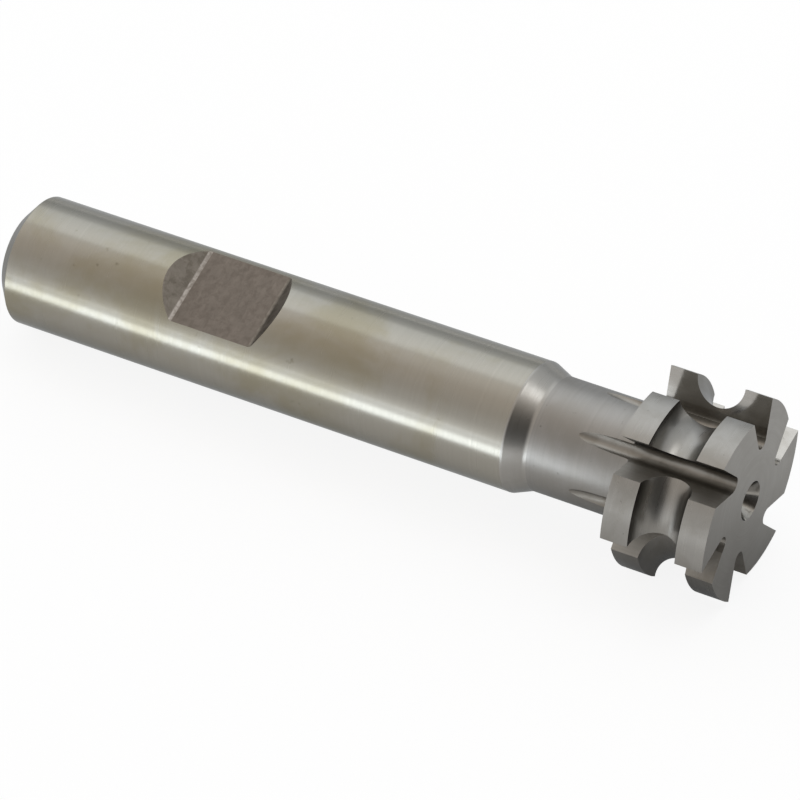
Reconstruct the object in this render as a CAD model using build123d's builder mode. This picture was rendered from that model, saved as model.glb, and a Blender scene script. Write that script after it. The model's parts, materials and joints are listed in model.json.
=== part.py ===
import math
import os

from build123d import *
from build123d.topology import SkipClean

# A concave milling cutter on a straight shank, ground from one bar of high-speed steel.
# X is the tool axis, with the origin at the middle of the shank's back end and the head
# towards +X. The cutter lies as it comes to rest, on one tooth tip and the next land.

# Driving dimensions in millimetres and degrees
shank_diameter = 12.7
shank_length = 54.9
chamfer_length = 1.4
chamfer_depth = 1.7

shoulder_length = 1.9
shoulder_step = 0.8
shoulder_round = 0.6
shoulder_fillet = 1.2
neck_length = 10.1

flat_start = 19.3
flat_length = 8.7
flat_depth = 1.6
flat_back_slope = 38.0
flat_front_slope = 45.0
flat_angle = 106.6

head_diameter = 19.8
head_width = 10.2
head_fillet = 0.4
form_radius = 2.38
tooth_count = 6
first_tooth_angle = 4.1
relief_offset = 2.2

gullet_angle = 40.0
gullet_root_round = 0.7
gullet_sink = 0.45
gullet_overrun = 0.4
gullet_mill_radius = 25.0

centre_hole_diameter = 3.8
centre_hole_angle = 60.0
pilot_diameter = 1.6
pilot_depth = 3.6
pilot_point_angle = 118.0

# Radii and places that follow from them
shank_radius = shank_diameter / 2
neck_radius = shank_radius - shoulder_step
neck_start = shank_length + shoulder_length
head_start = neck_start + neck_length
head_end = head_start + head_width
head_radius = head_diameter / 2
tooth_pitch = 360 / tooth_count
tooth_angles = [first_tooth_angle + tooth * tooth_pitch for tooth in range(tooth_count)]


def half_tangent(angle):
    return math.tan(math.radians(angle / 2))


# One tooth of the head. Its outline, two lands with a half-round hollow between them,
# is turned about an axis that stands off the tool axis, ahead of the cutting edge. The
# whole form falls away evenly behind the edge, so that grinding the face keeps it.
with BuildPart() as relieved_tooth:
    relief_radius = math.hypot(head_radius, relief_offset)
    with BuildSketch(Plane.XZ) as tooth_form:
        with Locations((head_start, relief_offset)):
            Rectangle(head_width, relief_radius, align=(Align.MIN, Align.MIN))
        with Locations((head_start + head_width / 2, relief_offset + relief_radius)):
            Circle(form_radius, mode=Mode.SUBTRACT)
    revolve(axis=Axis((0, 0, relief_offset), (1, 0, 0)))
    split(bisect_by=Plane.XY, keep=Keep.BOTTOM)
    split(bisect_by=Plane.XY.rotated((-tooth_pitch, 0, 0)), keep=Keep.TOP)

# The path of the angle mill that cuts one gullet. Its flat side leaves the radial
# cutting face and its sloping side the heel of the tooth ahead. It ends its pass over
# the neck, where its round edge leaves a run-out that tapers away.
with BuildPart() as gullet:
    gullet_end = head_start - gullet_overrun
    gullet_root = neck_radius - gullet_sink
    gullet_vertex = gullet_root + gullet_root_round - gullet_root_round / half_tangent(gullet_angle)
    mill_slope = math.tan(math.radians(gullet_angle))
    with BuildSketch(Plane.YZ.offset(gullet_end)) as mill_section:
        with BuildLine():
            Polyline(
                (gullet_vertex, 0),
                (head_diameter, 0),
                (head_diameter, (head_diameter - gullet_vertex) * mill_slope),
                close=True,
            )
        make_face()
        fillet(mill_section.vertices().sort_by(Axis.X)[0], gullet_root_round)
    extrude(amount=2 * head_width)
    mill_centre = (gullet_end, gullet_root + gullet_mill_radius, 0)
    revolve(mill_section.sketch, axis=Axis(mill_centre, (0, 0, 1)))

# The centre drill that is sunk into both ends of the bar, so that it can be turned and
# ground between centres. Its face plane is XY, and it points down.
with BuildPart() as centre_drill:
    hole_radius = centre_hole_diameter / 2
    pilot_radius = pilot_diameter / 2
    cone_depth = (hole_radius - pilot_radius) / half_tangent(centre_hole_angle)
    point_depth = pilot_radius / half_tangent(pilot_point_angle)
    with BuildSketch(Plane.XZ) as drill_profile:
        with BuildLine():
            Polyline(
                (0, 0),
                (hole_radius, 0),
                (pilot_radius, -cone_depth),
                (pilot_radius, -pilot_depth),
                (0, -pilot_depth - point_depth),
                close=True,
            )
        make_face()
    revolve(axis=Axis.Z)

with BuildPart() as cutter_form:
    # Shank, shoulder and neck, with a fillet that runs up the back of the head
    with BuildSketch(Plane.XZ) as turned_profile:
        fillet_radius = neck_radius + 2 * head_fillet
        with BuildLine():
            Polyline(
                (0, 0),
                (0, shank_radius - chamfer_depth),
                (chamfer_length, shank_radius),
                (shank_length, shank_radius),
                (neck_start, neck_radius),
                (head_start, neck_radius),
                (head_start, fillet_radius),
                (head_start + head_fillet, fillet_radius),
                (head_start + head_fillet, 0),
                close=True,
            )
        make_face()
        corners = turned_profile.vertices().group_by(Axis.X)
        fillet(corners[2], shoulder_round)
        fillet(corners[3], shoulder_fillet)
        fillet(corners[4].sort_by(Axis.Y)[0], head_fillet)
    revolve(axis=Axis.X)

    # The ring of relieved teeth, then the gullets between them
    for angle in tooth_angles:
        add(relieved_tooth.part, rotation=(angle, 0, 0))
    for angle in tooth_angles:
        add(gullet.part, rotation=(angle, 0, 0), mode=Mode.SUBTRACT)

    # The flat that the holder's set screw bears on, milled with a sloping wall at each end
    flat_height = shank_radius - flat_depth
    flat_end = flat_start + flat_length
    back_run = flat_depth / math.tan(math.radians(flat_back_slope))
    front_run = flat_depth / math.tan(math.radians(flat_front_slope))
    with BuildSketch(Plane.XY.rotated((flat_angle, 0, 0))) as flat_section:
        with BuildLine():
            Polyline(
                (flat_start, flat_height),
                (flat_end, flat_height),
                (flat_end + front_run, shank_radius),
                (flat_start - back_run, shank_radius),
                close=True,
            )
        make_face()
    extrude(amount=shank_radius, both=True, mode=Mode.SUBTRACT)

    # The centre holes, in the front face and in the back end
    with Locations(Plane.YZ.offset(head_end), -Plane.YZ):
        add(centre_drill.part, mode=Mode.SUBTRACT)

# The holder grips the shank up to a line just past the flat. The ground wall is one face
# behind that line and another in front of it, and the line leaves no mark on the steel.
grip_end = Plane.YZ.offset(flat_end + 2 * front_run)
with BuildPart() as gripped_stretch:
    add(cutter_form.part)
    split(bisect_by=grip_end, keep=Keep.BOTTOM)

with SkipClean(), BuildPart() as concave_cutter:
    add(cutter_form.part)
    split(bisect_by=grip_end, keep=Keep.TOP)
    add(gripped_stretch.part, clean=False)

concave_cutter.part.label = "concave_cutter"

os.makedirs("parts", exist_ok=True)
export_step(concave_cutter.part, "parts/concave_cutter.step")
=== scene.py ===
import json
import math

import bmesh
import bpy
from mathutils import Matrix, Vector


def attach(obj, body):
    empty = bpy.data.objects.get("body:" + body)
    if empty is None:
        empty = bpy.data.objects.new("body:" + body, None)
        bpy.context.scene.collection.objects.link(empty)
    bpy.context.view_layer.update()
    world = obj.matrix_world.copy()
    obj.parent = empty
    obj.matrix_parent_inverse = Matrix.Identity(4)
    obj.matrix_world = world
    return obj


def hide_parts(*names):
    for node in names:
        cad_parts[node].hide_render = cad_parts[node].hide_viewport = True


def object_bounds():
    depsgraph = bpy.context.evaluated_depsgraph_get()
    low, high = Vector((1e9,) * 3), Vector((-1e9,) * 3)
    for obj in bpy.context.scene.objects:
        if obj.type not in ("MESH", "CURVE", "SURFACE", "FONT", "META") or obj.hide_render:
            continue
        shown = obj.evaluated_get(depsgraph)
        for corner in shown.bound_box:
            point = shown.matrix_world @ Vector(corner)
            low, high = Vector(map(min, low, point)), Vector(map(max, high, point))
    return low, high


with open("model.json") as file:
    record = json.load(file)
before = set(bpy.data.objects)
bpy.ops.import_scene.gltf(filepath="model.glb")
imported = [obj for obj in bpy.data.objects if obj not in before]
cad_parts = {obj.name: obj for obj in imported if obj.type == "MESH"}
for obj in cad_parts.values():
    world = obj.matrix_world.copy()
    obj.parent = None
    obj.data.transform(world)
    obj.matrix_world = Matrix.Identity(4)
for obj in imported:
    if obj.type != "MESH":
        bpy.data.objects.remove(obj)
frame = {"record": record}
cad_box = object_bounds()

# Shank. It is the back two thirds of the bar, a plain 12.7 mm cylinder that a holder grips.
# It is hardened and then ground between centres, so its fine lines run round the bar, and
# the steel has a faint straw tarnish and a few small stains.
mm = 0.001
mounts = {mount["name"]: mount for mount in frame["record"]["mounts"]}
shank_radius = mounts["shank"]["dims"]["r_mm"] * mm
steps_round = 192

steel = bmesh.new()
finishes = []


def lay_patch(rows, finish):
    if finish not in finishes:
        finishes.append(finish)
    grid = [[steel.verts.new(point) for point in row] for row in rows]
    for back, front in zip(grid, grid[1:]):
        for corners in zip(back, back[1:], front[1:], front):
            steel.faces.new(corners).material_index = finishes.index(finish)


def on_bar(x, radius, angle):
    return Vector((x, radius * math.cos(angle), radius * math.sin(angle)))


def ring(x, radius, start, sweep=2 * math.pi, steps=steps_round):
    return [on_bar(x, radius, start + sweep * step / steps) for step in range(steps + 1)]


def turn(outline, finish, start, steps=steps_round):
    lay_patch([ring(x, radius, start, steps=steps) for x, radius in outline], finish)


def rounded(before, corner, after, radius, steps=4):
    before, corner, after = Vector(before), Vector(corner), Vector(after)
    back, ahead = (before - corner).normalized(), (after - corner).normalized()
    half_angle = back.angle(ahead) / 2
    centre = corner + (back + ahead).normalized() * radius / math.sin(half_angle)
    start = corner + back * radius / math.tan(half_angle) - centre
    end = corner + ahead * radius / math.tan(half_angle) - centre
    spokes = [start.lerp(end, step / steps).normalized() * radius for step in range(steps + 1)]
    return [tuple(centre + spoke) for spoke in spokes]


def add_node(tree, kind, fed=(), **settings):
    node = tree.nodes.new(kind)
    for name, value in settings.items():
        setattr(node, name, value)
    for socket, value in dict(fed).items():
        if isinstance(value, bpy.types.NodeSocket):
            tree.links.new(value, node.inputs[socket])
        else:
            node.inputs[socket].default_value = value
    return node


def mix_colours(tree, share, first, second):
    fed = {0: share, 6: first, 7: second}
    return add_node(tree, "ShaderNodeMix", fed, data_type="RGBA").outputs[2]


def start_group(name, given, made):
    tree = bpy.data.node_groups.new(name, "ShaderNodeTree")
    for side, sockets in (("INPUT", given), ("OUTPUT", made)):
        for socket, kind in sockets.items():
            tree.interface.new_socket(socket, in_out=side, socket_type="NodeSocket" + kind)
    return tree, tree.nodes.new("NodeGroupInput").outputs, tree.nodes.new("NodeGroupOutput").inputs


# The fine lines that a wheel or a cutter leaves, long one way and closely spaced the other
def make_tool_marks():
    tree, given, made = start_group(
        "tool_marks",
        {"Place": "Vector", "Lines Per Metre": "Vector"},
        {"Height": "Float", "Shade": "Float"},
    )
    stretched = add_node(
        tree,
        "ShaderNodeVectorMath",
        {0: given["Place"], 1: given["Lines Per Metre"]},
        operation="MULTIPLY",
    )
    layers = []
    for scale, detail, roughness in ((1.0, 4.0, 0.75), (0.2, 2.0, 0.6)):
        fed = {"Vector": stretched.outputs[0], "Scale": scale, "Detail": detail, "Roughness": roughness}
        layers.append(add_node(tree, "ShaderNodeTexNoise", fed).outputs[0])
    height = add_node(tree, "ShaderNodeMix", {0: 0.5, 2: layers[0], 3: layers[1]}, data_type="FLOAT")
    shade = add_node(
        tree, "ShaderNodeMapRange", {"Value": height.outputs[0], "From Min": 0.35, "From Max": 0.65}
    )
    tree.links.new(height.outputs[0], made["Height"])
    tree.links.new(shade.outputs[0], made["Shade"])
    return tree


# Cloudy straw tarnish, and the small dark specks that fingers and cutting oil leave in it. In the centre
# hole the same clouds lay painted shade.
def make_tarnish_and_painted_shade_clouds():
    tree, given, made = start_group(
        "tarnish_and_painted_shade_clouds",
        {"Place": "Vector", "Patches Per Metre": "Float", "Cover": "Float"},
        {"Mask": "Float", "Specks": "Float"},
    )
    scaled = add_node(
        tree,
        "ShaderNodeVectorMath",
        {0: given["Place"], "Scale": given["Patches Per Metre"]},
        operation="SCALE",
    )
    clouds = add_node(
        tree,
        "ShaderNodeTexNoise",
        {"Vector": scaled.outputs[0], "Scale": 1.0, "Detail": 5.0, "Roughness": 0.6, "Distortion": 0.4},
    )
    cover = add_node(tree, "ShaderNodeMath", {0: clouds.outputs[0], 1: given["Cover"]}, operation="ADD")
    dots = add_node(tree, "ShaderNodeTexNoise", {"Vector": scaled.outputs[0], "Scale": 9.0, "Detail": 2.0})
    for name, amount, low, high in (("Mask", cover, 0.9, 1.15), ("Specks", dots, 0.70, 0.80)):
        edge = add_node(
            tree,
            "ShaderNodeMapRange",
            {"Value": amount.outputs[0], "From Min": low, "From Max": high},
            interpolation_type="SMOOTHSTEP",
        )
        tree.links.new(edge.outputs[0], made[name])
    return tree


tool_marks = make_tool_marks()
tarnish_and_painted_shade_clouds = make_tarnish_and_painted_shade_clouds()
line_shade = 0.93
speck_shade = 0.75
rim_tint = (0.60, 0.62, 0.64, 1.0)


def distance_from_axis(tree, place):
    parts = add_node(tree, "ShaderNodeSeparateXYZ", {0: place}).outputs
    across = add_node(tree, "ShaderNodeCombineXYZ", {"Y": parts["Y"], "Z": parts["Z"]})
    distance = add_node(tree, "ShaderNodeVectorMath", {0: across.outputs[0]}, operation="LENGTH")
    fed = {"X": distance.outputs["Value"], "Y": parts["Y"], "Z": parts["Z"]}
    return add_node(tree, "ShaderNodeCombineXYZ", fed).outputs[0]


# The two tones of a finish are the steel's own colour, except where they are painted light: a painted
# highlight on the back bend of the flat, and painted shade in the gullet roots and the centre hole.
def steel_finish(
    name, clean_tone_and_painted_light, tarnish_tone_and_painted_light, cover, patches, roughness, spacing, depth, stretch=0.0, turned=False
):
    material = bpy.data.materials.new(name)
    material.use_nodes = True
    tree = material.node_tree
    place = add_node(tree, "ShaderNodeTexCoord").outputs["Object"]
    marks_place = distance_from_axis(tree, place) if turned else place
    lines = [1 / length for length in spacing]
    marks = add_node(
        tree, "ShaderNodeGroup", {"Place": marks_place, "Lines Per Metre": lines}, node_tree=tool_marks
    )
    stain_and_painted_shade = add_node(
        tree,
        "ShaderNodeGroup",
        {"Place": place, "Patches Per Metre": 1 / patches, "Cover": cover},
        node_tree=tarnish_and_painted_shade_clouds,
    )
    lined = [line_shade * channel for channel in clean_tone_and_painted_light]
    speck = [speck_shade * channel for channel in tarnish_tone_and_painted_light]
    colour = mix_colours(tree, marks.outputs["Shade"], (*clean_tone_and_painted_light, 1.0), (*lined, 1.0))
    colour = mix_colours(tree, stain_and_painted_shade.outputs["Mask"], colour, (*tarnish_tone_and_painted_light, 1.0))
    colour = mix_colours(tree, stain_and_painted_shade.outputs["Specks"], colour, (*speck, 1.0))
    gloss = add_node(
        tree,
        "ShaderNodeMapRange",
        {"Value": marks.outputs["Shade"], "To Min": roughness[0], "To Max": roughness[1]},
    )
    bump = add_node(tree, "ShaderNodeBump", {"Height": marks.outputs["Height"], "Distance": depth})
    shader = tree.nodes["Principled BSDF"]
    shader.inputs["Metallic"].default_value = 1.0
    shader.inputs["Specular Tint"].default_value = rim_tint
    tree.links.new(colour, shader.inputs["Base Color"])
    tree.links.new(gloss.outputs[0], shader.inputs["Roughness"])
    tree.links.new(bump.outputs[0], shader.inputs["Normal"])
    if stretch:
        lay = add_node(tree, "ShaderNodeTangent", direction_type="RADIAL", axis="X")
        tree.links.new(lay.outputs[0], shader.inputs["Tangent"])
        shader.inputs["Anisotropic"].default_value = stretch
        shader.inputs["Anisotropic Rotation"].default_value = 0.25
    return material


ground_shank = steel_finish(
    "ground_shank",
    clean_tone_and_painted_light=(0.282, 0.267, 0.232),
    tarnish_tone_and_painted_light=(0.238, 0.217, 0.163),
    cover=0.45,
    patches=11 * mm,
    roughness=(0.22, 0.28),
    spacing=(0.05 * mm, 9 * mm, 9 * mm),
    depth=0.0001 * mm,
    stretch=0.6,
)

# Back end. It has a wide turned chamfer, so that it slides into the holder, and the 60 degree
# hole of a centre drill. Its corners are barely broken with a stone.
flat_place = mounts["set_screw_flat"]
flat_angle = math.atan2(flat_place["axis"][2], flat_place["axis"][1])
chamfer_length = 1.4 * mm
chamfer_depth = 1.7 * mm
edge_break = 0.1 * mm
hole_radius = 1.9 * mm
hole_half_angle = math.radians(30)
pilot_radius = 0.8 * mm
pilot_depth = 3.6 * mm
point_half_angle = math.radians(59)

turned_end = steel_finish(
    "turned_end",
    clean_tone_and_painted_light=(0.260, 0.246, 0.222),
    tarnish_tone_and_painted_light=(0.215, 0.200, 0.172),
    cover=0.5,
    patches=4 * mm,
    roughness=(0.3, 0.42),
    spacing=(0.08 * mm, 4 * mm, 4 * mm),
    depth=0.001 * mm,
    turned=True,
)

centre_hole = [
    (pilot_depth + pilot_radius / math.tan(point_half_angle), 0.0),
    (pilot_depth, pilot_radius),
    ((hole_radius - pilot_radius) / math.tan(hole_half_angle), pilot_radius),
    (0.0, hole_radius),
]
end_corner = (0.0, shank_radius - chamfer_depth)
chamfer_corner = (chamfer_length, shank_radius)
further_on_shank = (2 * chamfer_length, shank_radius)
end_rim = rounded(centre_hole[-1], end_corner, chamfer_corner, edge_break)
shank_rim = rounded(end_corner, chamfer_corner, further_on_shank, edge_break)
turn(centre_hole + end_rim, turned_end, flat_angle)
turn([end_rim[-1], shank_rim[0]], turned_end, flat_angle)

# Set-screw flat. A side mill cuts it across the hardened shank, and it stays as milled: dull,
# slightly mottled, with a sloping wall at each end. The holder's set screw bears on its floor.
flat_height = math.hypot(*flat_place["pos_m"][1:])
flat_depth = shank_radius - flat_height
flat_start = 19.3 * mm
flat_end = 2 * flat_place["pos_m"][0] - flat_start
flat_back_slope = math.radians(38.0)
flat_front_slope = math.radians(45.0)
flat_root_round = 0.6 * mm
steps_across_flat = 28
steps_up_wall = 14

milled_flat = steel_finish(
    "milled_flat",
    clean_tone_and_painted_light=(0.158, 0.135, 0.115),
    tarnish_tone_and_painted_light=(0.130, 0.110, 0.093),
    cover=0.5,
    patches=0.7 * mm,
    roughness=(0.45, 0.6),
    spacing=(0.12 * mm, 0.5 * mm, 0.5 * mm),
    depth=0.004 * mm,
)
milled_wall = steel_finish(
    "milled_wall",
    clean_tone_and_painted_light=(0.185, 0.162, 0.136),
    tarnish_tone_and_painted_light=(0.125, 0.108, 0.088),
    cover=0.5,
    patches=0.9 * mm,
    roughness=(0.4, 0.55),
    spacing=(0.4 * mm, 0.4 * mm, 0.4 * mm),
    depth=0.004 * mm,
)
# The bend at the back of the flat is painted much lighter than the floor: a painted highlight along the
# bend. Its rounded shape and roughness are real.
painted_highlight_bend = steel_finish(
    "painted_highlight_bend",
    clean_tone_and_painted_light=(0.275, 0.250, 0.225),
    tarnish_tone_and_painted_light=(0.180, 0.160, 0.139),
    cover=0.5,
    patches=0.5 * mm,
    roughness=(0.4, 0.5),
    spacing=(0.5 * mm, 0.5 * mm, 0.5 * mm),
    depth=0.002 * mm,
)

back_tip = Vector((flat_start - flat_depth / math.tan(flat_back_slope), shank_radius))
front_tip = Vector((flat_end + flat_depth / math.tan(flat_front_slope), shank_radius))
back_root, front_root = (flat_start, flat_height), (flat_end, flat_height)
back_bend = rounded(back_tip, back_root, front_root, flat_root_round)
front_bend = rounded(back_root, front_root, front_tip, flat_root_round)
rise = [(step / steps_up_wall) ** 2 for step in range(steps_up_wall)]
flat_rows = [back_tip.lerp(Vector(back_bend[0]), share) for share in rise] + back_bend
flat_rows += front_bend + [front_tip.lerp(Vector(front_bend[-1]), share) for share in reversed(rise)]

# The shank's ground wall stops at the two rims of the flat, which runs from rim to rim
wall_rows, floor_rows = [], []
for x, height in flat_rows:
    half_angle = math.acos(min(1.0, height / shank_radius))
    wall_rows.append(ring(x, shank_radius, flat_angle + half_angle, 2 * (math.pi - half_angle)))
    first, last = (on_bar(x, shank_radius, flat_angle + side * half_angle) for side in (-1, 1))
    floor_rows.append([first.lerp(last, step / steps_across_flat) for step in range(steps_across_flat + 1)])
turn(shank_rim, ground_shank, flat_angle)
lay_patch([ring(*shank_rim[-1], flat_angle)] + wall_rows, ground_shank)
bend_start = len(rise)
bend_end = bend_start + len(back_bend) - 1
floor_end = bend_end + 1
lay_patch(floor_rows[: bend_start + 1], milled_wall)
# the back bend carries the painted highlight
lay_patch(floor_rows[bend_start : bend_end + 1], painted_highlight_bend)
lay_patch(floor_rows[bend_end : floor_end + 1], milled_flat)
lay_patch(floor_rows[floor_end:], milled_wall)

# Shoulder and neck. Both are turned and finely ground, so they are more satin than the shank.
# The shoulder drops to the neck over a small round and a larger fillet.
grinding_end = 54.75 * mm
shoulder_start = 54.9 * mm
neck_start = 56.8 * mm
neck_radius = shank_radius - 0.8 * mm
shoulder_round = 0.6 * mm
shoulder_fillet = 1.2 * mm

satin_neck = steel_finish(
    "satin_neck",
    clean_tone_and_painted_light=(0.262, 0.252, 0.236),
    tarnish_tone_and_painted_light=(0.235, 0.224, 0.206),
    cover=0.5,
    patches=5 * mm,
    roughness=(0.40, 0.48),
    spacing=(0.06 * mm, 6 * mm, 6 * mm),
    depth=0.0004 * mm,
    stretch=0.4,
)
turned_shoulder = steel_finish(
    "turned_shoulder",
    clean_tone_and_painted_light=(0.285, 0.273, 0.253),
    tarnish_tone_and_painted_light=(0.250, 0.238, 0.216),
    cover=0.5,
    patches=5 * mm,
    roughness=(0.26, 0.34),
    spacing=(0.06 * mm, 6 * mm, 6 * mm),
    depth=0.0003 * mm,
)

shoulder_top, shoulder_foot = (shoulder_start, shank_radius), (neck_start, neck_radius)
further_on_neck = (2 * neck_start, neck_radius)
shoulder_rows = rounded(front_tip, shoulder_top, shoulder_foot, shoulder_round)
fillet_rows = rounded(shoulder_top, shoulder_foot, further_on_neck, shoulder_fillet)
turn([tuple(front_tip), (grinding_end, shank_radius)], ground_shank, flat_angle)
turn([(grinding_end, shank_radius)] + shoulder_rows + fillet_rows, turned_shoulder, flat_angle)

# Gullets. An angle mill, set over by the rake, cuts each one from the front. Its flat side
# leaves the hooked cutting face of one tooth, and its sloping side the heel of the next. It
# ends over the neck, where its round edge leaves a run-out that tapers away.
tooth_count = 6
tooth_pitch = 2 * math.pi / tooth_count
first_tooth = math.radians(4.1)
head_start = 66.9 * mm
head_radius = 9.9 * mm
neck_fillet = 0.4 * mm
rake = math.radians(7.5)
gullet_angle = math.radians(33.0)
gullet_root_round = 0.8 * mm
gullet_root = neck_radius - 0.45 * mm
gullet_end = head_start - neck_fillet
mill_radius = 25.0 * mm
steps_over_land = steps_round // tooth_count
steps_in_root = 14
steps_in_fillet = 5
steps_in_runout = 18

ground_gullet = steel_finish(
    "ground_gullet",
    clean_tone_and_painted_light=(0.290, 0.273, 0.246),
    tarnish_tone_and_painted_light=(0.230, 0.212, 0.186),
    cover=0.45,
    patches=2.5 * mm,
    roughness=(0.46, 0.56),
    spacing=(3 * mm, 0.06 * mm, 0.06 * mm),
    depth=0.0006 * mm,
)
# The root of each gullet is painted darker than its sloping side: painted shade in the bottom of the
# gullet. Its lower roughness is its finish.
ground_root_painted_shade = steel_finish(
    "ground_root_painted_shade",
    clean_tone_and_painted_light=(0.235, 0.221, 0.199),
    tarnish_tone_and_painted_light=(0.180, 0.166, 0.145),
    cover=0.5,
    patches=2.5 * mm,
    roughness=(0.32, 0.42),
    spacing=(3 * mm, 0.06 * mm, 0.06 * mm),
    depth=0.0006 * mm,
)

root_centre = gullet_root + gullet_root_round
root_setback = gullet_root_round / math.tan(gullet_angle / 2)
root_length = gullet_root_round * (math.pi - gullet_angle)
mill_axis = gullet_root + mill_radius
cutting_edge = Vector((head_radius, 0.0))
tilt = Matrix.Rotation(rake, 2)


def set_over(spot):
    return cutting_edge + tilt @ (spot - cutting_edge)


def mill_outline(along, lift=0.0):
    if along < 0:
        height, side = root_centre - along, 0.0
    elif along < root_length:
        turned = along / gullet_root_round
        height = root_centre - gullet_root_round * math.sin(turned)
        side = gullet_root_round * (1 - math.cos(turned))
    else:
        beyond = root_setback + along - root_length
        height = root_centre - root_setback + beyond * math.cos(gullet_angle)
        side = beyond * math.sin(gullet_angle)
    return set_over(Vector((mill_axis - math.sqrt((mill_axis - height) ** 2 - lift**2), side)))


def last_within(near, far, radius, lift=0.0, centre=Vector((0.0, 0.0)), halvings=50):
    for _ in range(halvings):
        middle = (near + far) / 2
        inside = (mill_outline(middle, lift) - centre).length < radius
        near, far = (middle, far) if inside else (near, middle)
    return near


# The run-out starts where the lowest part of the mill's round edge first touches the neck.
# The heights and sides are the mill's own, in which the tool axis is a little off.
axis_height = head_radius * (1 - math.cos(rake))
axis_side = head_radius * math.sin(rake)
low_turn = math.acos((gullet_root_round - axis_side) / (neck_radius + gullet_root_round))
low_height = root_centre - gullet_root_round * math.sin(low_turn)
low_side = gullet_root_round * (1 - math.cos(low_turn))
touch_height = axis_height + math.sqrt(neck_radius**2 - (low_side - axis_side) ** 2)
runout_length = math.sqrt((mill_axis - low_height) ** 2 - (mill_axis - touch_height) ** 2)
touch_spot = set_over(Vector((touch_height, low_side)))
touch_angle = first_tooth + math.atan2(touch_spot.y, touch_spot.x)
root_low = gullet_root_round * low_turn
head_fillet_radius = neck_radius + neck_fillet


def gullet_spots(radius, lift=0.0):
    first = last_within(root_low, -mill_radius / 2, radius, lift)
    last = last_within(root_low, mill_radius / 2, radius, lift)
    shares = [step / steps_in_root for step in range(steps_in_root + 1)]
    return [mill_outline(first + (last - first) * share, lift) for share in shares]


def in_place(x, spots, tooth):
    turn_to_tooth = Matrix.Rotation(first_tooth + tooth * tooth_pitch, 2)
    return [Vector((x, *(turn_to_tooth @ spot))) for spot in spots]


def between_gullets(x, radius, tooth, lift=0.0):
    spots = gullet_spots(radius, lift)
    start = first_tooth + tooth * tooth_pitch + math.atan2(spots[-1].y, spots[-1].x)
    end = first_tooth + (tooth + 1) * tooth_pitch + math.atan2(spots[0].y, spots[0].x)
    return ring(x, radius, start, end - start, steps_over_land)


runout_rows = []
for step in range(steps_in_runout + 1):
    lift = runout_length * (1 - (step / steps_in_runout) ** 2)
    runout_rows.append((gullet_end - lift, neck_radius, lift))
for step in range(1, steps_in_fillet + 1):
    turned = math.pi / 2 * step / steps_in_fillet
    x = gullet_end + neck_fillet * math.sin(turned)
    runout_rows.append((x, neck_radius + neck_fillet * (1 - math.cos(turned)), 0.0))
for tooth in range(tooth_count):
    lay_patch([between_gullets(x, radius, tooth, lift) for x, radius, lift in runout_rows], satin_neck)
    rows = [in_place(x, gullet_spots(radius, lift), tooth) for x, radius, lift in runout_rows]
    lay_patch(rows, ground_root_painted_shade)

# The neck's last full ring has one of its corners at the tip of each run-out
runout_seam = flat_angle + (touch_angle - flat_angle) % (2 * math.pi / steps_round)
neck_ring = ring(gullet_end - runout_length, neck_radius, runout_seam)
lay_patch([ring(*fillet_rows[-1], flat_angle), neck_ring], satin_neck)

# Head. Two lands with a half-round hollow between them are ground all round it. The form then
# falls away evenly behind each cutting edge, on an axis that stands off the tool axis.
head_end = cad_box[1].x
form_radius = 2.38 * mm
relief_offset = 2.2 * mm
relief_radius = math.hypot(head_radius, relief_offset)
hollow_middle = (head_start + head_end) / 2
steps_in_hollow = 28
steps_up_face = 10

satin_head = steel_finish(
    "satin_head",
    clean_tone_and_painted_light=(0.260, 0.250, 0.232),
    tarnish_tone_and_painted_light=(0.225, 0.215, 0.196),
    cover=0.5,
    patches=3 * mm,
    roughness=(0.26, 0.34),
    spacing=(0.05 * mm, 2.5 * mm, 2.5 * mm),
    depth=0.0004 * mm,
)
cutting_face = steel_finish(
    "cutting_face",
    clean_tone_and_painted_light=(0.370, 0.355, 0.330),
    tarnish_tone_and_painted_light=(0.312, 0.296, 0.270),
    cover=0.45,
    patches=2.5 * mm,
    roughness=(0.10, 0.15),
    spacing=(3 * mm, 0.06 * mm, 0.06 * mm),
    depth=0.0002 * mm,
)
ground_face = steel_finish(
    "ground_face",
    clean_tone_and_painted_light=(0.335, 0.320, 0.295),
    tarnish_tone_and_painted_light=(0.305, 0.290, 0.265),
    cover=0.5,
    patches=3 * mm,
    roughness=(0.32, 0.4),
    spacing=(0.07 * mm, 3 * mm, 3 * mm),
    depth=0.0003 * mm,
    turned=True,
)

head_rows = [(head_start, relief_radius)]
for step in range(steps_in_hollow + 1):
    turned = math.pi * step / steps_in_hollow
    x = hollow_middle - form_radius * math.cos(turned)
    head_rows.append((x, relief_radius - form_radius * math.sin(turned)))
head_rows.append((head_end, relief_radius))

next_tooth = Matrix.Rotation(tooth_pitch, 2)
heel_centre = next_tooth @ Vector((0.0, relief_offset))
root_spots = gullet_spots(head_fillet_radius)

# How far below its edge a cutting face passes nearest to the axis that the form is turned on
nearest_on_face = head_radius * math.cos(rake) - relief_offset * math.sin(rake)


def shared_out(start, end):
    return [start.lerp(end, step / steps_up_face) for step in range(steps_up_face + 1)]


def edge_spot(relief):
    below_edge = nearest_on_face - math.sqrt(nearest_on_face**2 - relief_radius**2 + relief**2)
    return set_over(cutting_edge - Vector((below_edge, 0.0)))


def heel_spot(relief):
    return mill_outline(last_within(root_low, mill_radius / 2, relief, centre=heel_centre))


def land_spots(relief):
    start, end = heel_spot(relief) - heel_centre, next_tooth @ edge_spot(relief) - heel_centre
    sweep = start.angle_signed(end)
    shares = [step / steps_over_land for step in range(steps_over_land + 1)]
    return [heel_centre + Matrix.Rotation(-sweep * share, 2) @ start for share in shares]


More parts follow.
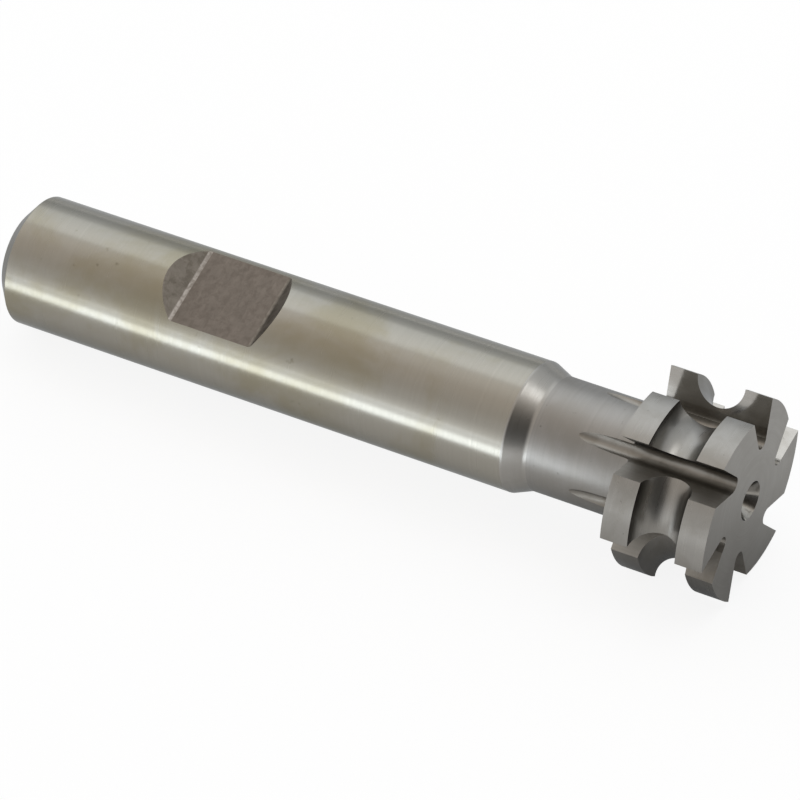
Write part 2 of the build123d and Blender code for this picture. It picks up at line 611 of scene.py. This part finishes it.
for tooth in range(tooth_count):
    for finish, spots_at in (
        (cutting_face, lambda relief: shared_out(edge_spot(relief), root_spots[0])),
        (ground_root_painted_shade, lambda relief: root_spots),
        (ground_gullet, lambda relief: shared_out(root_spots[-1], heel_spot(relief))),
        (satin_head, land_spots),
    ):
        lay_patch([in_place(x, spots_at(relief), tooth) for x, relief in head_rows], finish)
    for x, finish in ((head_start, satin_head), (head_end, ground_face)):
        rim = between_gullets(x, head_fillet_radius, tooth)
        land = in_place(x, land_spots(relief_radius), tooth)
        lay_patch(list(zip(*[shared_out(inner, outer) for inner, outer in zip(rim, land)])), finish)

# Front face. Inside the teeth it is ground flat and square to the bar. The centre hole in its
# middle is like the one at the back end, and its steel is painted darker in cloudy patches, as painted
# shade for the hollow.
drilled_hole = steel_finish(
    "drilled_hole",
    clean_tone_and_painted_light=(0.270, 0.256, 0.232),
    # painted shade: the dark tone that the cloudy patches lay in the hole
    tarnish_tone_and_painted_light=(0.130, 0.120, 0.103),
    cover=0.45,
    patches=0.9 * mm,
    roughness=(0.12, 0.18),
    spacing=(0.1 * mm, 1.5 * mm, 1.5 * mm),
    depth=0.001 * mm,
)

face_rim = []
for tooth in range(tooth_count):
    face_rim += in_place(head_end, root_spots, tooth)[:-1]
    face_rim += between_gullets(head_end, head_fillet_radius, tooth)[:-1]
face_rim.append(face_rim[0])
face_steps = len(face_rim) - 1
face_bore = [(head_end, gullet_root - gullet_root_round), (head_end, hole_radius)]
face_rings = [ring(x, radius, first_tooth - rake, steps=face_steps) for x, radius in face_bore]
lay_patch([face_rim] + face_rings, ground_face)
hole_outline = [(head_end - depth, radius) for depth, radius in reversed(centre_hole)]
turn(hole_outline, drilled_hole, first_tooth - rake, face_steps)

# Edges. The form, the cutting edges and the faces meet in corners that are only stoned, so
# each one is a hair's width of bright steel.
stoned_width = 0.035 * mm
weld_distance = 0.005 * mm
sharp_angle = math.radians(25)

bmesh.ops.remove_doubles(steel, verts=steel.verts, dist=weld_distance)
bmesh.ops.recalc_face_normals(steel, faces=steel.faces)
stoned = steel.edges.layers.float.new("bevel_weight_edge")
for edge in steel.edges:
    one, other = edge.link_faces
    is_corner = edge.calc_face_angle() > sharp_angle
    if is_corner and all(vert.co.x > head_start - weld_distance for vert in edge.verts):
        edge[stoned] = 1.0
    elif is_corner or one.material_index != other.material_index:
        edge.smooth = False
for face in steel.faces:
    face.smooth = True

mesh = bpy.data.meshes.new("milling_cutter")
steel.to_mesh(mesh)
steel.free()
for finish in finishes:
    mesh.materials.append(finish)
milling_cutter = bpy.data.objects.new("milling_cutter", mesh)
bpy.context.collection.objects.link(milling_cutter)
stoning = milling_cutter.modifiers.new("stoning", "BEVEL")
stoning.limit_method = "WEIGHT"
stoning.width = stoned_width
stoning.segments = 2
stoning.harden_normals = True
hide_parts("concave_cutter")
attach(milling_cutter, "root")

# Table. A plain white sheet lies under the cutter, which rests on its back chamfer and on the
# rear corner of its lowest teeth, so its axis leans by about two degrees. Seen in the steel the
# sheet is greyer, and darkest close to the head, where the teeth keep the light off it.
lean = (-cad_box[0].z - shank_radius) / (head_start - chamfer_length)
table_reach = 3.0
seen_glow = 0.88
mirrored_glow = 0.60
shade_middle = (80 * mm, -8 * mm, -9 * mm)
shade_core = 8 * mm
shade_rim = 28 * mm
shade_level = 0.3

table_paper = bpy.data.materials.new("table_paper")
table_paper.use_nodes = True
paper_tree = table_paper.node_tree
paper_place = add_node(paper_tree, "ShaderNodeTexCoord").outputs["Object"]
rays = add_node(paper_tree, "ShaderNodeLightPath").outputs
fibres = add_node(
    paper_tree, "ShaderNodeTexNoise", {"Vector": paper_place, "Scale": 900.0, "Detail": 3.0}
)
paper = mix_colours(paper_tree, fibres.outputs[0], (0.90, 0.90, 0.90, 1.0), (0.92, 0.92, 0.92, 1.0))
paper_shader = paper_tree.nodes["Principled BSDF"]
paper_tree.links.new(paper, paper_shader.inputs["Base Color"])
paper_shader.inputs["Roughness"].default_value = 0.9
paper_shader.inputs["Specular IOR Level"].default_value = 0.0
from_head = add_node(
    paper_tree, "ShaderNodeVectorMath", {0: paper_place, 1: shade_middle}, operation="DISTANCE"
)
shaded = add_node(
    paper_tree,
    "ShaderNodeMapRange",
    {
        "Value": from_head.outputs["Value"],
        "From Min": shade_core,
        "From Max": shade_rim,
        "To Min": shade_level,
        "To Max": 1.0,
    },
    interpolation_type="SMOOTHSTEP",
)
strength = add_node(
    paper_tree, "ShaderNodeMath", {0: shaded.outputs[0], 1: rays["Is Camera Ray"]}, operation="MAXIMUM"
)
white = add_node(
    paper_tree, "ShaderNodeEmission", {"Color": (1.0, 1.0, 1.0, 1.0), "Strength": strength.outputs[0]}
)
mirrored = add_node(
    paper_tree, "ShaderNodeMath", {0: rays["Is Glossy Ray"], 1: mirrored_glow}, operation="MULTIPLY"
)
share = add_node(
    paper_tree,
    "ShaderNodeMath",
    {0: rays["Is Camera Ray"], 1: seen_glow, 2: mirrored.outputs[0]},
    operation="MULTIPLY_ADD",
)
shown = add_node(
    paper_tree,
    "ShaderNodeMixShader",
    {0: share.outputs[0], 1: paper_shader.outputs[0], 2: white.outputs[0]},
)
paper_tree.links.new(shown.outputs[0], paper_tree.nodes["Material Output"].inputs["Surface"])


def on_table(x, y):
    return (x, y, -shank_radius - (x - chamfer_length) * lean)


table_mesh = bpy.data.meshes.new("table")
table_corners = [(-1, -1), (1, -1), (1, 1), (-1, 1)]
table_spots = [on_table(x * table_reach, y * table_reach) for x, y in table_corners]
table_mesh.from_pydata(table_spots, [], [(0, 1, 2, 3)])
table_mesh.materials.append(table_paper)
table = bpy.data.objects.new("table", table_mesh)
bpy.context.collection.objects.link(table)

# Studio. A large softbox stands behind the cutter and a smaller one above it. A low strip in
# front draws the bright line along the shank, and fades out upwards. The room is pale all
# round, apart from the side that the camera stands in.
strip_length = 70 * mm
strip_colour = (0.90, 1.0, 1.09)
room_strength = 2.0
camera_side = (0.75, -0.60, 0.28)
camera_side_rim = 0.50
camera_side_core = 0.88
camera_side_level = 0.12


def add_softbox(name, spot, tilt, size, radiance, colour):
    light = bpy.data.lights.new(name, "AREA")
    light.shape = "RECTANGLE"
    light.size, light.size_y = size
    light.color = colour
    light.energy = radiance * math.pi * light.size * light.size_y
    softbox = bpy.data.objects.new(name, light)
    softbox.location = spot
    softbox.rotation_euler = [math.radians(angle) for angle in tilt]
    bpy.context.collection.objects.link(softbox)
    return softbox


add_softbox(
    "top_softbox",
    spot=(0.180, 0.096, 0.368),
    tilt=(-14.6, 18.1, 0.0),
    size=(0.15, 0.15),
    radiance=2.0,
    colour=(0.98, 1.0, 1.02),
)
add_softbox(
    "back_softbox",
    spot=(-0.139, 0.250, 0.332),
    tilt=(-36.9, 0.0, 0.0),
    size=(0.40, 0.34),
    radiance=0.5,
    colour=(0.96, 1.0, 1.04),
)
for name, low, high, radiance in (
    ("low_strip", -5.5 * mm, -0.8 * mm, 3.2),
    ("low_strip_ramp", -0.8 * mm, 3.6 * mm, 1.0),
):
    strip = add_softbox(
        name,
        spot=(0.023, -0.022, (low + high) / 2),
        tilt=(90.0, 0.0, 0.0),
        size=(strip_length, high - low),
        radiance=radiance,
        colour=strip_colour,
    )
    strip.visible_camera = False
    strip.visible_diffuse = False

room = bpy.data.worlds.new("pale_room")
room.use_nodes = True
bpy.context.scene.world = room
room_tree = room.node_tree
direction = add_node(room_tree, "ShaderNodeTexCoord").outputs["Generated"]
parts = add_node(room_tree, "ShaderNodeSeparateXYZ", {0: direction}).outputs
front = add_node(room_tree, "ShaderNodeMath", {0: parts["Y"], 1: -1.0}, operation="MULTIPLY")
turn_up = add_node(
    room_tree, "ShaderNodeMath", {0: parts["Z"], 1: front.outputs[0]}, operation="ARCTAN2"
)
half_turns = add_node(
    room_tree, "ShaderNodeMath", {0: turn_up.outputs[0], 1: math.pi}, operation="DIVIDE"
)
walls = add_node(room_tree, "ShaderNodeValToRGB", {0: half_turns.outputs[0]})
walls.color_ramp.interpolation = "EASE"

# Half turns from the front wall over the ceiling to the back wall, then brightness and warmth
for half_turn, level, warmth in (
    (0.00, 1.65, 0.98),
    (0.14, 1.00, 1.01),
    (0.25, 0.86, 1.05),
    (0.37, 0.92, 1.07),
    (0.53, 1.22, 1.04),
    (0.62, 1.32, 0.98),
    (0.80, 1.15, 0.96),
    (0.88, 0.95, 0.96),
    (0.96, 0.66, 0.96),
    (1.00, 0.66, 0.96),
):
    stop = walls.color_ramp.elements.new(half_turn)
    grey = level / room_strength
    stop.color = (grey * warmth, grey, grey / warmth, 1.0)
walls.color_ramp.elements.remove(walls.color_ramp.elements[0])
walls.color_ramp.elements.remove(walls.color_ramp.elements[-1])

towards_camera = add_node(
    room_tree, "ShaderNodeVectorMath", {0: direction, 1: camera_side}, operation="DOT_PRODUCT"
)
opening = add_node(
    room_tree,
    "ShaderNodeMapRange",
    {
        "Value": towards_camera.outputs["Value"],
        "From Min": camera_side_rim,
        "From Max": camera_side_core,
        "To Min": 1.0,
        "To Max": camera_side_level,
    },
    interpolation_type="SMOOTHSTEP",
)
lit = mix_colours(room_tree, opening.outputs[0], (0.0, 0.0, 0.0, 1.0), walls.outputs[0])
backdrop = room_tree.nodes["Background"]
room_tree.links.new(lit, backdrop.inputs["Color"])
backdrop.inputs["Strength"].default_value = room_strength

# Camera. It stands about half a metre off, above the front of the cutter and to its right.
# Its long lens and its place are fitted to the outline of the shank and to the tooth tips.
lens = bpy.data.cameras.new("camera")
lens.lens = 233.06
camera = bpy.data.objects.new("camera", lens)
camera.location = (0.226584, -0.312811, 0.315401)
camera.rotation_euler = [math.radians(angle) for angle in (48.848, 1.903, 29.044)]
bpy.context.collection.objects.link(camera)
bpy.context.scene.camera = camera
bpy.context.scene.view_settings.view_transform = "Standard"
